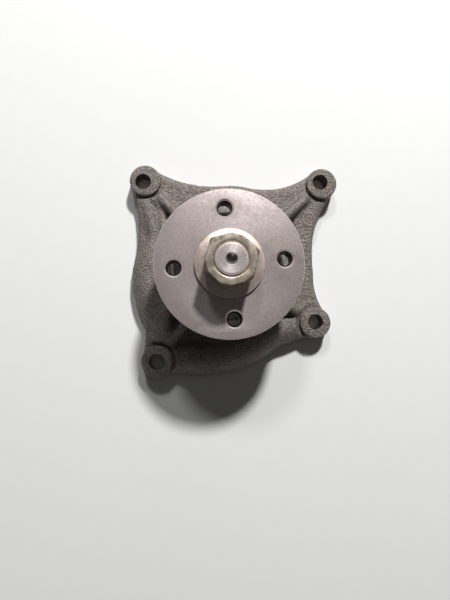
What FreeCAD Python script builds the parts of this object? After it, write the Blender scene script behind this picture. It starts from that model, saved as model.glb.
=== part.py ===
import FreeCAD
import Part
import math
import os

# Engine coolant pump with a bolted pulley hub, in millimetres.
# The shaft axis is Z, towards the pulley hub. The mounting face lies on z = 0.
V = FreeCAD.Vector
Z_AXIS = V(0, 0, 1)
ORIGIN = V(0, 0, 0)

# Overall sizes
hub_disc_d = 76.0
hub_disc_t = 9.5
hub_gap = 2.5
tower_top_r = 29.6
web_t = 8.0
ear_top_z = 10.0

# Ears: hole centre, and how far the cast boss lies off its drilled hole
ear_holes = {
    "upper_left": (-47.7, 52.2),
    "lower_left": (-39.2, -51.4),
    "lower_right": (51.8, -29.0),
    "upper_right": (55.8, 53.2),
}
boss_shift = {
    "upper_left": (1.2, 0.7),
    "lower_left": (0.0, 0.4),
    "lower_right": (0.1, -0.5),
    "upper_right": (1.0, -0.7),
}
ear_hole_d = 9.0
ear_boss_d = 17.8
ear_boss_draft = 0.35
ear_edge_chamfer = 0.6

# Casting outline: each side is a round middle with a hollow running out to the ear at each end
# ear, next ear, centre of the middle, its radius, angles on it where the two hollows touch
outline_sides = [
    ("upper_left", "lower_left", (-9.8, -4.0), 44.3, 166.0, -154.7),
    ("lower_left", "lower_right", (-13.2, 7.2), 66.7, -99.3, -53.1),
    ("lower_right", "upper_right", (11.0, -0.2), 41.0, -1.9, 6.6),
    ("upper_right", "upper_left", (4.0, 15.0), 36.9, 76.6, 96.5),
]
web_edge_round = 3.0

# How far a cutting shape runs past the face it cuts, and how near to zero counts as parallel
overrun = 1.0
parallel_limit = 0.001

# Volute roll along the left and the bottom side
roll_r = 10.0
roll_centre_z = 3.0
roll_wall = 4.0
left_roll_turn = (140.0, 224.0)
bottom_roll_turn = (-97.0, -47.0)
roll_ear_r = 7.2
roll_ear_z = 2.2
volute_ceiling_z = 4.6
volute_reach_in = 18.0

# Bearing tower, and the dome over the wet chamber that it stands on
tower_base_r = 31.0
tower_flare_r = 4.0
tower_edge_chamfer = 1.2
dome_wall = 4.0
dome_roof_t = 3.6
dome_draft = 2.2

# Ribs from the ears to the tower
rib_w = 5.0
rib_foot_z = 1.0
rib_top_round = 2.4
rib_root_z = 23.5
rib_root_depth = 4.0
rib_ear_z = 9.4
rib_ear_depth = 1.5

# Wet chamber and seal bore
chamber_r = 34.5
chamber_ceiling_z = 9.2
chamber_edge_chamfer = 0.8
seal_bore_r = 15.2
dry_chamber_r = 17.0
dry_chamber_h = 2.1
weep_hole_d = 2.1
weep_hole_slope = 0.12

# Double-row ball bearing
bearing_bore_d = 17.0
bearing_od = 40.0
bearing_w = 15.0
ball_d = 5.556
ball_pitch_r = 14.25
ball_count = 8
row_half_gap = 3.6
race_shoulder_h = 0.93
ball_clearance = 0.04
pocket_clearance = 0.12
cage_gap = 0.3
cage_ring_t = 2.2
cage_crown_h = 1.2
race_edge = 0.5
shield_t = 0.7
shield_inset = 0.2
shield_lip_gap = 0.15
shield_seat_h = 0.9
shield_seat_depth = 0.9
bearing_mouth_chamfer = 0.8

# Retaining ring
ring_t = 1.5
ring_groove_depth = 1.1
ring_fit = 0.1
ring_w = 2.8
ring_land_h = 1.0
ring_gap_angle = 34.0
ring_lug_r = 2.0
ring_lug_in = 0.4
ring_lug_hole_d = 1.5

# Shaft
shaft_proud = 0.8
shaft_tail_z = 1.0
shaft_tail_r = 6.0
shaft_slinger_r = 8.0
shaft_collar_r = 10.7
shaft_collar_t = 0.8
thread_d = 16.0
thread_fit = 0.07
thread_relief = 1.0
thread_relief_h = 1.5
shaft_end_flat_d = 13.7
shaft_end_chamfer = 1.1
centre_drill_d = 5.7
centre_drill_sink = 3.4
centre_drill_pilot_d = 2.2
centre_drill_depth = 4.5
shaft_tail_chamfer = 0.8

# Hub
hub_boss_r = 14.0
hub_nose_r = 12.2
hub_nose_h = 0.9
hub_boss_round = 2.0
hub_edge_chamfer = 0.7
pulley_pcd = 56.0
pulley_hole_d = 6.8
pulley_hole_mouth_d = 8.4
pulley_hole_mouth_h = 0.46
pulley_hole_count = 4
pulley_hole_turn = 95.0
hub_bore_chamfer = 0.6
nut_seat_depth = 0.3
nut_seat_gap = 0.6

# Key between shaft and hub
key_w = 5.0
key_h = 5.0
key_l = 9.0
key_in_shaft = 3.0
key_under_disc = 3.0
key_fit = 0.05

# Flange nut
nut_af = 24.0
nut_h = 16.5
nut_flange_d = 34.5
nut_flange_rim = 1.8
nut_flange_h = 3.2
nut_flange_edge = 0.3
nut_top_chamfer_r = 12.15
nut_chamfer_angle = 30.0
nut_mouth_d = 17.3
nut_mouth_h = 1.25
nut_turn = 16.0

# Impeller
impeller_side_gap = 2.0
impeller_back_gap = 1.0
impeller_low_z = 1.2
impeller_disc_t = 2.4
impeller_hub_r = 9.0
impeller_hub_gap = 0.3
impeller_pocket_r = 14.0
impeller_pocket_h = 3.9
impeller_dish_r = 16.0
impeller_dish_slope = 2.0
vane_count = 6
vane_root_t = 2.4
vane_mid_t = 2.8
vane_tip_t = 3.2
vane_inner_r = 16.5
vane_mid_sweep = 21.0
vane_sweep = 50.0
impeller_edge = 0.6

# Shaft seal
seat_bore_fit = 0.1
seat_ring_r = 13.0
seat_ring_t = 2.6
seat_cup_t = 0.8
seat_cup_wall_h = 2.8
seal_film = 0.02
carbon_in_r = 9.7
carbon_out_r = 12.4
carbon_nose_h = 1.2
carbon_nose_step = 0.8
carbon_h = 2.6
cup_wall = 0.6
cup_flange_r = 17.2
cup_h = 4.0
cup_bore_step = 0.2
cup_end_r = 10.2
bellows_t = 0.9
bellows_fold = 0.45
spring_t = 0.5
spring_play = 0.02
spring_fit = 0.3

# Slinger
slinger_r = 13.4
slinger_flat_r = 11.2
slinger_t = 0.8
slinger_rise = 0.5

# Places that follow from the sizes above
cup_low_z = chamber_ceiling_z - cup_wall
cup_end_z = chamber_ceiling_z + cup_h
dry_chamber_z = cup_end_z + cup_bore_step
bearing_rear_z = dry_chamber_z + dry_chamber_h
bearing_mid_z = bearing_rear_z + bearing_w / 2
bearing_front_z = bearing_rear_z + bearing_w
bearing_r = bearing_od / 2
shaft_r = bearing_bore_d / 2
tower_top_z = bearing_front_z + ring_t + ring_land_h
hub_back_z = tower_top_z + hub_gap
hub_face_z = hub_back_z + hub_disc_t
nut_foot_z = hub_face_z - nut_seat_depth
nut_seat_r = nut_flange_d / 2 + nut_seat_gap
shaft_end_z = nut_foot_z + nut_h + shaft_proud
ball_r = ball_d / 2
inner_land_r = ball_pitch_r - ball_r + race_shoulder_h
outer_land_r = ball_pitch_r + ball_r - race_shoulder_h
shield_seat_r = outer_land_r + shield_seat_depth
impeller_r = chamber_r - impeller_side_gap
impeller_top_z = cup_low_z - impeller_back_gap
impeller_disc_z = impeller_top_z - impeller_disc_t
impeller_pocket_z = impeller_top_z - impeller_pocket_h
impeller_hub_top_z = cup_end_z - impeller_hub_gap
seat_low_z = impeller_pocket_z + seat_cup_t
seat_top_z = seat_low_z + seat_ring_t
carbon_low_z = seat_top_z + seal_film
carbon_top_z = carbon_low_z + carbon_h


def polar(radius, degrees, z=0.0):
    angle = math.radians(degrees)
    return V(radius * math.cos(angle), radius * math.sin(angle), z)


def ring_solid(inner_r, outer_r, low_z, high_z):
    outer = Part.makeCylinder(outer_r, high_z - low_z, V(0, 0, low_z))
    if inner_r <= 0:
        return outer
    return outer.cut(Part.makeCylinder(inner_r, high_z - low_z, V(0, 0, low_z)))


def turned(points):
    """Revolve a closed outline of (radius, z) points round the shaft axis."""
    corners = [V(r, 0, z) for r, z in points]
    face = Part.Face(Part.makePolygon(corners + corners[:1]))
    return face.revolve(ORIGIN, Z_AXIS, 360)


def hollow_centre(core, core_r, degrees, ear, ear_r):
    """Centre of the round that touches the core at an angle, and the ear."""
    out = polar(1, degrees)
    line = core + out * core_r - ear
    hollow_r = (line.dot(line) - ear_r ** 2) / (2 * (ear_r - line.dot(out)))
    return core + out * (core_r + hollow_r)


def towards(start, end, distance):
    return start + (end - start).normalize() * distance


def arc_about(centre, start, end):
    """Arc of under half a circle from start to end round a centre."""
    bisector = (start - centre) + (end - centre)
    middle = centre + bisector.normalize() * (start - centre).Length
    return Part.Arc(start, middle, end).toShape()


def ear_centre(name):
    hole = ear_holes[name]
    shift = boss_shift[name]
    return V(hole[0] + shift[0], hole[1] + shift[1], 0)


def casting_outline():
    """Star outline of tangent arcs: ear, hollow, round middle, hollow, ear."""
    ear_r = ear_boss_d / 2
    edges = []
    ends = {}
    for first, second, middle, middle_r, angle_a, angle_b in outline_sides:
        ear_a = ear_centre(first)
        ear_b = ear_centre(second)
        core = V(middle[0], middle[1], 0)
        hollow_a = hollow_centre(core, middle_r, angle_a, ear_a, ear_r)
        hollow_b = hollow_centre(core, middle_r, angle_b, ear_b, ear_r)
        on_ear_a = towards(ear_a, hollow_a, ear_r)
        on_core_a = towards(core, hollow_a, middle_r)
        on_core_b = towards(core, hollow_b, middle_r)
        on_ear_b = towards(ear_b, hollow_b, ear_r)
        edges.append(arc_about(hollow_a, on_ear_a, on_core_a))
        edges.append(arc_about(core, on_core_a, on_core_b))
        edges.append(arc_about(hollow_b, on_core_b, on_ear_b))
        ends[first] = ends.get(first, []) + [on_ear_a]
        ends[second] = ends.get(second, []) + [on_ear_b]
    for name, (one_end, other_end) in ends.items():
        centre = ear_centre(name)
        tip = towards(centre, centre * 2, ear_r)
        edges.append(Part.Arc(one_end, tip, other_end).toShape())
    return Part.Wire(Part.__sortEdges__(edges))


def roll_bar(centre, path_r, bar_r, turn):
    """Round bar bent along an arc, with ball ends."""
    start, end = turn
    bar = Part.makeTorus(path_r, bar_r, V(0, 0, 0), Z_AXIS, 0, 360, end - start)
    bar.rotate(ORIGIN, Z_AXIS, start)
    for angle in turn:
        bar = bar.fuse(Part.makeSphere(bar_r, polar(path_r, angle)))
    bar.translate(V(centre[0], centre[1], roll_centre_z))
    return bar


def roll_run_out(centre, path_r, angle, name):
    """Tapered end of a roll, running out into an ear."""
    start = V(centre[0], centre[1], roll_centre_z) + polar(path_r, angle)
    ear = ear_centre(name)
    end = V(ear.x, ear.y, roll_ear_z)
    return Part.makeCone(roll_r, roll_ear_r, (end - start).Length, start, end - start)


def volute_cut(centre, path_r, turn):
    """Channel inside a roll, open at the mounting face and towards the impeller."""
    start, end = turn
    channel_r = roll_r - roll_wall
    channel = roll_bar(centre, path_r, channel_r, turn)
    throat = ring_solid(path_r - volute_reach_in, path_r, -overrun, volute_ceiling_z)
    mouth = ring_solid(path_r - channel_r, path_r + channel_r, -overrun, roll_centre_z)
    sector_h = roll_centre_z + roll_r + overrun
    sector = Part.makeCylinder(path_r + roll_r, sector_h, V(0, 0, -overrun), Z_AXIS, end - start)
    sector.rotate(ORIGIN, Z_AXIS, start)
    opened = throat.fuse(mouth).common(sector)
    for angle in turn:
        foot = polar(path_r, angle, -overrun)
        opened = opened.fuse(Part.makeCylinder(channel_r, roll_centre_z + overrun, foot))
    opened.translate(V(centre[0], centre[1], 0))
    return channel.fuse(opened)


def rib(name):
    """Cast rib from the ear boss up to the tower, round on top."""
    ear = ear_centre(name)
    root = tower_top_r - rib_root_depth
    reach = ear.Length - ear_boss_d / 2 + rib_ear_depth
    corners = [
        V(root, 0, rib_foot_z),
        V(reach, 0, rib_foot_z),
        V(reach, 0, rib_ear_z),
        V(root, 0, rib_root_z),
    ]
    face = Part.Face(Part.makePolygon(corners + corners[:1]))
    bar = face.extrude(V(0, rib_w, 0))
    bar.translate(V(0, -rib_w / 2, 0))
    slope = corners[2] - corners[3]
    top_edges = []
    for edge in bar.Edges:
        line = edge.Vertexes[1].Point - edge.Vertexes[0].Point
        if line.cross(slope).Length < parallel_limit:
            top_edges.append(edge)
    bar = bar.makeFillet(rib_top_round, top_edges)
    bar.rotate(ORIGIN, Z_AXIS, math.degrees(math.atan2(ear.y, ear.x)))
    return bar


def tower():
    """Bearing tower with draft, on the dome over the wet chamber."""
    dome_r = chamber_r + dome_wall
    roof_z = chamber_ceiling_z + dome_roof_t
    flare = tower_flare_r
    edge = tower_edge_chamfer
    corners = [
        V(tower_base_r, 0, roof_z + flare),
        V(tower_top_r, 0, tower_top_z - edge),
        V(tower_top_r - edge, 0, tower_top_z),
        V(0, 0, tower_top_z),
        ORIGIN,
        V(dome_r + dome_draft, 0, 0),
        V(dome_r + dome_draft, 0, web_t),
        V(dome_r - dome_draft, 0, roof_z),
        V(tower_base_r + flare, 0, roof_z),
    ]
    edges = [Part.makeLine(start, end) for start, end in zip(corners, corners[1:])]
    flare_centre = V(tower_base_r + flare, 0, roof_z + flare)
    edges.append(arc_about(flare_centre, corners[-1], corners[0]))
    return Part.Face(Part.Wire(edges)).revolve(ORIGIN, Z_AXIS, 360)


def ear_boss(name):
    centre = ear_centre(name)
    foot_r = ear_boss_d / 2 + ear_boss_draft
    boss = Part.makeCone(foot_r, ear_boss_d / 2, ear_top_z, centre)
    top = [edge for edge in boss.Edges if edge.Closed and edge.Vertexes[0].Z > ear_top_z / 2]
    return boss.makeChamfer(ear_edge_chamfer, top)


def bearing_bore():
    """Stepped bore: retaining ring groove, bearing seat, dry chamber and seal seat."""
    groove_r = bearing_r + ring_groove_depth
    edge = bearing_mouth_chamfer
    bore = ring_solid(0, bearing_r, bearing_rear_z, tower_top_z)
    bore = bore.fuse(ring_solid(0, groove_r, bearing_front_z, bearing_front_z + ring_t))
    bore = bore.fuse(ring_solid(0, dry_chamber_r, dry_chamber_z, bearing_rear_z))
    bore = bore.fuse(ring_solid(0, seal_bore_r, chamber_ceiling_z, dry_chamber_z))
    mouth = Part.makeCone(bearing_r, bearing_r + edge, edge, V(0, 0, tower_top_z - edge))
    return bore.fuse(mouth)


def weep_hole():
    """Drilled drain from the dry chamber out through the foot of the tower."""
    drill_r = weep_hole_d / 2
    start = V(0, -dry_chamber_r / 2 - seal_bore_r / 2, dry_chamber_z + drill_r)
    direction = V(0, -1, weep_hole_slope).normalize()
    length = tower_base_r + 2 * tower_flare_r - seal_bore_r
    return Part.makeCylinder(drill_r, length, start, direction)


def pump_body():
    body = Part.Face(casting_outline()).extrude(V(0, 0, web_t))
    top_edges = [edge for edge in body.Edges if min(v.Z for v in edge.Vertexes) > web_t / 2]
    body = body.makeFillet(web_edge_round, top_edges)
    body = body.fuse(tower())
    rolls = []
    for side, turn in ((outline_sides[0], left_roll_turn), (outline_sides[1], bottom_roll_turn)):
        rolls.append((side[2], side[3] - roll_r, turn))
        body = body.fuse(roll_bar(side[2], side[3] - roll_r, roll_r, turn))
        for angle, name in zip(turn, side[:2]):
            body = body.fuse(roll_run_out(side[2], side[3] - roll_r, angle, name))
    for name in ear_holes:
        body = body.fuse(rib(name))
        body = body.fuse(ear_boss(name))
    box = body.BoundBox
    under = Part.makeBox(box.XLength, box.YLength, roll_r, V(box.XMin, box.YMin, -roll_r))
    body = body.cut(under)
    chamber = ring_solid(0, chamber_r, -overrun, chamber_ceiling_z)
    mouth = Part.makeCone(chamber_r + chamber_edge_chamfer, chamber_r, chamber_edge_chamfer)
    body = body.cut(chamber.fuse(mouth))
    for centre, path_r, turn in rolls:
        body = body.cut(volute_cut(centre, path_r, turn))
    body = body.cut(bearing_bore())
    body = body.cut(weep_hole())
    for hole in ear_holes.values():
        drill = Part.makeCylinder(ear_hole_d / 2, ear_top_z + 2 * overrun, V(hole[0], hole[1], -overrun))
        body = body.cut(drill)
    return body.removeSplitter()


def race_grooves():
    grooves = []
    for side in (-1, 1):
        centre = V(0, 0, bearing_mid_z + side * row_half_gap)
        grooves.append(Part.makeTorus(ball_pitch_r, ball_r + ball_clearance, centre, Z_AXIS))
    return grooves


def bearing_outer_race():
    race = turned([
        (outer_land_r, bearing_rear_z),
        (bearing_r - race_edge, bearing_rear_z),
        (bearing_r, bearing_rear_z + race_edge),
        (bearing_r, bearing_front_z - race_edge),
        (bearing_r - race_edge, bearing_front_z),
        (outer_land_r, bearing_front_z),
    ])
    for low, high in ((bearing_rear_z, bearing_rear_z + shield_seat_h),
                      (bearing_front_z - shield_seat_h, bearing_front_z)):
        race = race.cut(ring_solid(0, shield_seat_r, low, high))
    for groove in race_grooves():
        race = race.cut(groove)
    return race


def bearing_inner_race():
    race = turned([
        (shaft_r + race_edge, bearing_rear_z),
        (inner_land_r, bearing_rear_z),
        (inner_land_r, bearing_front_z),
        (shaft_r + race_edge, bearing_front_z),
        (shaft_r, bearing_front_z - race_edge),
        (shaft_r, bearing_rear_z + race_edge),
    ])
    for groove in race_grooves():
        race = race.cut(groove)
    return race


def ball_centres(side):
    z = bearing_mid_z + side * row_half_gap
    return [polar(ball_pitch_r, 360 / ball_count * index, z) for index in range(ball_count)]


def ball_row(side):
    return Part.makeCompound([Part.makeSphere(ball_r, centre) for centre in ball_centres(side)])


def ball_cage(side):
    """Crown cage: a ring between the rows with open round pockets for the balls."""
    row_z = bearing_mid_z + side * row_half_gap
    back_z = bearing_mid_z + side * cage_gap / 2
    crown_z = row_z + side * cage_crown_h
    low_z = min(back_z, crown_z)
    high_z = max(back_z, crown_z)
    cage = ring_solid(ball_pitch_r - cage_ring_t / 2, ball_pitch_r + cage_ring_t / 2, low_z, high_z)
    for centre in ball_centres(side):
        outward = V(centre.x, centre.y, 0)
        pocket = Part.makeCylinder(ball_r + pocket_clearance, ball_pitch_r, V(0, 0, centre.z), outward)
        pocket.translate(outward / 2)
        cage = cage.cut(pocket)
    return cage


def bearing_shield(side):
    lip_r = inner_land_r + shield_lip_gap
    if side > 0:
        high_z = bearing_front_z - shield_inset
        low_z = high_z - shield_t
    else:
        low_z = bearing_rear_z + shield_inset
        high_z = low_z + shield_t
    return ring_solid(lip_r, shield_seat_r, low_z, high_z)


def retaining_ring():
    """Open spring ring with two drilled lugs, in the groove above the bearing."""
    outer_r = bearing_r + ring_groove_depth - ring_fit
    inner_r = outer_r - ring_w
    low_z = bearing_front_z
    ring = ring_solid(inner_r, outer_r, low_z, low_z + ring_t)
    lug_path_r = inner_r - ring_lug_in
    lug_turn = ring_gap_angle / 2 + math.degrees(ring_lug_r / lug_path_r)
    gap = Part.makeCylinder(outer_r + ring_w, ring_t, V(0, 0, low_z), Z_AXIS, ring_gap_angle)
    gap.rotate(ORIGIN, Z_AXIS, -ring_gap_angle / 2)
    ring = ring.cut(gap)
    for turn in (-lug_turn, lug_turn):
        ring = ring.fuse(Part.makeCylinder(ring_lug_r, ring_t, polar(lug_path_r, turn, low_z)))
    for turn in (-lug_turn, lug_turn):
        ring = ring.cut(Part.makeCylinder(ring_lug_hole_d / 2, ring_t, polar(lug_path_r, turn, low_z)))
    return ring.removeSplitter()


def hub_key():
    """Key, and the seat in the shaft that it is pressed into."""
    corner = V(shaft_r - key_in_shaft, -key_w / 2, hub_back_z - key_under_disc)
    return Part.makeBox(key_h, key_w, key_l, corner)


def shaft():
    collar_z = bearing_rear_z - shaft_collar_t
    thread_r = thread_d / 2 - thread_fit
    flat_r = shaft_end_flat_d / 2
    body = turned([
        (0, shaft_tail_z),
        (shaft_tail_r - shaft_tail_chamfer, shaft_tail_z),
        (shaft_tail_r, shaft_tail_z + shaft_tail_chamfer),
        (shaft_tail_r, cup_end_z),
        (shaft_slinger_r, cup_end_z),
        (shaft_slinger_r, collar_z),
        (shaft_collar_r, collar_z),
        (shaft_collar_r, bearing_rear_z),
        (shaft_r, bearing_rear_z),
        (shaft_r, nut_foot_z - thread_relief_h),
        (thread_r - thread_relief, nut_foot_z - thread_relief_h + thread_relief / 2),
        (thread_r - thread_relief, nut_foot_z),
        (thread_r, nut_foot_z + thread_relief),
        (thread_r, shaft_end_z - shaft_end_chamfer),
        (flat_r, shaft_end_z),
        (0, shaft_end_z),
    ])
    pilot_r = centre_drill_pilot_d / 2
    sink_z = shaft_end_z - centre_drill_sink
    drill = Part.makeCone(pilot_r, centre_drill_d / 2, centre_drill_sink, V(0, 0, sink_z))
    pilot = Part.makeCylinder(pilot_r, centre_drill_depth, V(0, 0, shaft_end_z - centre_drill_depth))
    return body.cut(drill).cut(pilot).cut(hub_key())


def pulley_hub():
    disc_r = hub_disc_d / 2
    nose_z = bearing_front_z
    boss_low_z = nose_z + hub_nose_h
    outline = [
        V(shaft_r, 0, nose_z),
        V(hub_nose_r, 0, nose_z),
        V(hub_nose_r, 0, boss_low_z),
        V(hub_boss_r, 0, boss_low_z),
        V(hub_boss_r, 0, hub_back_z - hub_boss_round),
    ]
    edges = [Part.makeLine(a, b) for a, b in zip(outline, outline[1:])]
    round_end = V(hub_boss_r + hub_boss_round, 0, hub_back_z)
    round_centre = V(round_end.x, 0, outline[-1].z)
    edges.append(arc_about(round_centre, outline[-1], round_end))
    rest = [
        round_end,
        V(disc_r - hub_edge_chamfer, 0, hub_back_z),
        V(disc_r, 0, hub_back_z + hub_edge_chamfer),
        V(disc_r, 0, hub_face_z - hub_edge_chamfer),
        V(disc_r - hub_edge_chamfer, 0, hub_face_z),
        V(nut_seat_r, 0, hub_face_z),
        V(nut_seat_r, 0, nut_foot_z),
        V(shaft_r + hub_bore_chamfer, 0, nut_foot_z),
        V(shaft_r, 0, nut_foot_z - hub_bore_chamfer),
        outline[0],
    ]
    edges += [Part.makeLine(a, b) for a, b in zip(rest, rest[1:])]
    hub = Part.Face(Part.Wire(edges)).revolve(ORIGIN, Z_AXIS, 360)
    mouth_r = pulley_hole_mouth_d / 2
    hole_r = pulley_hole_d / 2
    mouth_h = pulley_hole_mouth_h
    for index in range(pulley_hole_count):
        turn = pulley_hole_turn + 360 / pulley_hole_count * index
        foot = polar(pulley_pcd / 2, turn, hub_back_z)
        hub = hub.cut(Part.makeCylinder(hole_r, hub_disc_t, foot))
        hub = hub.cut(Part.makeCone(mouth_r, hole_r, mouth_h, foot))
        head = polar(pulley_pcd / 2, turn, hub_face_z - mouth_h)
        hub = hub.cut(Part.makeCone(hole_r, mouth_r, mouth_h, head))
    keyway_w = key_w + 2 * key_fit
    keyway_r = shaft_r - key_in_shaft + key_h + key_fit
    keyway = Part.makeBox(keyway_r, keyway_w, hub_face_z, V(0, -keyway_w / 2, nose_z))
    return hub.cut(keyway)


def flange_nut():
    """Hexagon nut with a conical flange, chamfered corners and a countersunk mouth."""
    flange_r = nut_flange_d / 2
    corner_r = nut_af / 2 / math.cos(math.radians(30))
    top_z = nut_foot_z + nut_h
    corners = [polar(corner_r, nut_turn + 60 * index, nut_foot_z) for index in range(6)]
    hexagon = Part.Face(Part.makePolygon(corners + corners[:1])).extrude(V(0, 0, nut_h))
    slope = math.tan(math.radians(nut_chamfer_angle))
    crown = turned([
        (0, nut_foot_z),
        (flange_r, nut_foot_z),
        (flange_r, top_z - (flange_r - nut_top_chamfer_r) * slope),
        (nut_top_chamfer_r, top_z),
        (0, top_z),
    ])
    flange = turned([
        (0, nut_foot_z),
        (flange_r - nut_flange_edge, nut_foot_z),
        (flange_r, nut_foot_z + nut_flange_edge),
        (flange_r, nut_foot_z + nut_flange_rim),
        (nut_af / 2, nut_foot_z + nut_flange_h),
        (0, nut_foot_z + nut_flange_h),
    ])
    nut = hexagon.common(crown).fuse(flange)
    bore_r = thread_d / 2
    mouth_r = nut_mouth_d / 2
    nut = nut.cut(Part.makeCylinder(bore_r, nut_h, V(0, 0, nut_foot_z)))
    nut = nut.cut(Part.makeCone(bore_r, mouth_r, nut_mouth_h, V(0, 0, top_z - nut_mouth_h)))
    nut = nut.cut(Part.makeCone(mouth_r, bore_r, nut_mouth_h, V(0, 0, nut_foot_z)))
    return nut.removeSplitter()


def vane(index):
    """One backward-swept vane under the impeller disc."""
    turn = 360 / vane_count * index
    middle_r = (vane_inner_r + impeller_r) / 2
    stations = (
        (vane_inner_r, turn, vane_root_t),
        (middle_r, turn - vane_mid_sweep, vane_mid_t),
        (impeller_r, turn - vane_sweep, vane_tip_t),
    )

    def swept(side):
        line = []
        for radius, angle, thickness in stations:
            line.append(polar(radius, angle + math.degrees(side * thickness / 2 / radius)))
        return line

    left = swept(1)
    right = swept(-1)
    edges = [
        Part.Arc(left[0], left[1], left[2]).toShape(),
        Part.makeLine(left[2], right[2]),
        Part.Arc(right[2], right[1], right[0]).toShape(),
        Part.makeLine(right[0], left[0]),
    ]
    blade = Part.Face(Part.Wire(edges)).extrude(V(0, 0, impeller_top_z - impeller_low_z))
    blade.translate(V(0, 0, impeller_low_z))
    return blade


def impeller():
    disc_top = impeller_top_z
    wheel = turned([
        (shaft_tail_r, impeller_low_z),
        (impeller_dish_r, impeller_low_z),
        (impeller_dish_r + impeller_dish_slope, impeller_disc_z),
        (impeller_r, impeller_disc_z),
        (impeller_r, disc_top - impeller_edge),
        (impeller_r - impeller_edge, disc_top),
        (impeller_pocket_r + impeller_edge, disc_top),
        (impeller_pocket_r, disc_top - impeller_edge),
        (impeller_pocket_r, impeller_pocket_z),
        (impeller_hub_r, impeller_pocket_z),
        (impeller_hub_r, impeller_hub_top_z - impeller_edge),
        (impeller_hub_r - impeller_edge, impeller_hub_top_z),
        (shaft_tail_r, impeller_hub_top_z),
    ])
    limit = ring_solid(0, impeller_r, 0, disc_top - impeller_edge)
    for index in range(vane_count):
        wheel = wheel.fuse(vane(index).common(limit))
    return wheel.removeSplitter()


def seal_seat_cup():
    """Rubber cup that holds the seat ring in the impeller's pocket."""
    inner_r = impeller_hub_r
    return turned([
        (inner_r, impeller_pocket_z),
        (impeller_pocket_r, impeller_pocket_z),
        (impeller_pocket_r, impeller_pocket_z + seat_cup_wall_h),
        (seat_ring_r, impeller_pocket_z + seat_cup_wall_h),
        (seat_ring_r, seat_low_z),
        (inner_r, seat_low_z),
    ])


def seal_seat_ring():
    return ring_solid(impeller_hub_r + seat_bore_fit, seat_ring_r, seat_low_z, seat_top_z)


def seal_carbon_ring():
    shoulder_z = carbon_low_z + carbon_nose_h
    nose_r = carbon_out_r - carbon_nose_step
    return turned([
        (carbon_in_r, carbon_low_z),
        (nose_r, carbon_low_z),
        (nose_r, shoulder_z),
        (carbon_out_r, shoulder_z),
        (carbon_out_r, carbon_top_z),
        (carbon_in_r, carbon_top_z),
    ])


def seal_cup():
    """Drawn metal cup pressed into the seal bore from the wet side."""
    return turned([
        (seal_bore_r - cup_wall, cup_low_z),
        (cup_flange_r, cup_low_z),
        (cup_flange_r, chamber_ceiling_z),
        (seal_bore_r, chamber_ceiling_z),
        (seal_bore_r, cup_end_z),
        (cup_end_r, cup_end_z),
        (cup_end_r, cup_end_z - cup_wall),
        (seal_bore_r - cup_wall, cup_end_z - cup_wall),
    ])


def seal_bellows():
    """Rubber bellows with one fold, from the carbon ring to the cup's floor."""
    low_z = carbon_top_z
    high_z = cup_end_z - cup_wall
    mid_z = (low_z + high_z) / 2
    inner_r = cup_end_r
    fold = bellows_fold
    return turned([
        (inner_r, low_z),
        (inner_r + bellows_t, low_z),
        (inner_r + bellows_t + fold, mid_z),
        (inner_r + bellows_t, high_z),
        (inner_r, high_z),
        (inner_r + fold, mid_z),
    ])


def seal_spring():
    """Coned disc spring round the bellows, from the carbon ring to the cup's floor."""
    low_z = carbon_top_z + spring_play
    high_z = cup_end_z - cup_wall - spring_play
    inner_r = cup_end_r + bellows_t + bellows_fold + spring_fit
    outer_r = seal_bore_r - cup_wall - spring_fit
    return turned([
        (inner_r, low_z),
        (inner_r + spring_t, low_z),
        (outer_r, high_z),
        (outer_r - spring_t, high_z),
    ])


def water_slinger():
    """Dished disc against the shaft collar, which throws leakage into the drain."""
    high_z = bearing_rear_z - shaft_collar_t
    low_z = high_z - slinger_t
    return turned([
        (shaft_slinger_r, low_z),
        (slinger_flat_r, low_z),
        (slinger_r, low_z + slinger_rise),
        (slinger_r, high_z + slinger_rise),
        (slinger_flat_r, high_z),
        (shaft_slinger_r, high_z),
    ])


pieces = {
    "pump_body": pump_body,
    "bearing_outer_race": bearing_outer_race,
    "bearing_inner_race": bearing_inner_race,
    "front_bearing_balls": lambda: ball_row(1),
    "rear_bearing_balls": lambda: ball_row(-1),
    "front_bearing_cage": lambda: ball_cage(1),
    "rear_bearing_cage": lambda: ball_cage(-1),
    "front_bearing_shield": lambda: bearing_shield(1),
    "rear_bearing_shield": lambda: bearing_shield(-1),
    "bearing_retaining_ring": retaining_ring,
    "shaft": shaft,
    "pulley_hub": pulley_hub,
    "hub_key": hub_key,
    "flange_nut": flange_nut,
    "impeller": impeller,
    "seal_seat_cup": seal_seat_cup,
    "seal_seat_ring": seal_seat_ring,
    "seal_carbon_ring": seal_carbon_ring,
    "seal_cup": seal_cup,
    "seal_bellows": seal_bellows,
    "seal_spring": seal_spring,
    "water_slinger": water_slinger,
}

os.makedirs("parts", exist_ok=True)
for node, make in pieces.items():
    shape = make()
    shape.exportStep("parts/" + node + ".step")
    solids = shape.Solids
    print(node, len(solids), "solids", shape.isValid(), round(shape.Volume, 1))
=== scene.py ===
import math

import bpy
from mathutils import Matrix, Vector


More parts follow.
